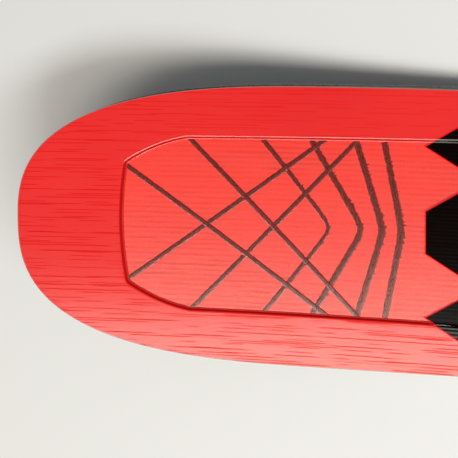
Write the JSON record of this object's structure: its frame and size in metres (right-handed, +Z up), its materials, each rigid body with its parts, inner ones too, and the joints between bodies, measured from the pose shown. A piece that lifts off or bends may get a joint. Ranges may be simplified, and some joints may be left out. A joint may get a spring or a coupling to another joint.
{
  "type": "alpine ski",
  "caption": "Alpine ski with rounded tip, sidecut, steel edges and layered wood core; a recessed front window shows crossing straight and chevron fibre strands.",
  "frame": {"origin": "middle of the length and width, on the floor that the unloaded ski lies on", "axes": "+X towards the tail, +Y the skier's right-hand side, +Z up from the base to the topsheet"},
  "size_m": [1.77, 0.13, 0.0581],
  "materials": {
    "topsheet": "clear gloss over red print with fine lengthwise dashes",
    "window_mat": "red resin over a glass weave",
    "strand": "resin-soaked black fibre strand",
    "base": "fine lengthwise stone grind",
    "edge_steel": "ground lengthwise",
    "sidewall": "planed, satin",
    "rubber": "matte",
    "laminate": "glass weave in clear resin",
    "metal_sheet": "rolled, satin",
    "wood_light": "planed, end-to-end grain",
    "wood_dark": "planed, end-to-end grain",
    "spacer": "moulded, satin",
    "protector": "satin"
  },
  "bodies": {
    "root": {"base": "base", "edge_left": "edge_steel", "edge_right": "edge_steel", "edge_rubber_left": "rubber", "edge_rubber_right": "rubber", "lower_ply": "laminate", "lower_metal_sheet": "metal_sheet", "lower_laminate": "laminate", "stringer_centre": "wood_light", "stringer_left_1": "wood_dark", "stringer_left_2": "wood_light", "stringer_left_3": "wood_dark", "stringer_right_1": "wood_dark", "stringer_right_2": "wood_light", "stringer_right_3": "wood_dark", "sidewall_left": "sidewall", "sidewall_right": "sidewall", "tip_spacer": "spacer", "tail_spacer": "spacer", "tail_protector": "protector", "binding_plate": "metal_sheet", "upper_laminate": "laminate", "glass_frame": "laminate", "metal_frame": "metal_sheet", "strand_mat": "window_mat", "strand_long_left": "strand", "strand_long_right": "strand", "strand_short_left": "strand", "strand_short_right": "strand", "chevron_1": "strand", "chevron_2": "strand", "chevron_3": "strand", "chevron_4": "strand", "rear_mat": "window_mat", "topsheet": "topsheet"}
  },
  "joints": []
}
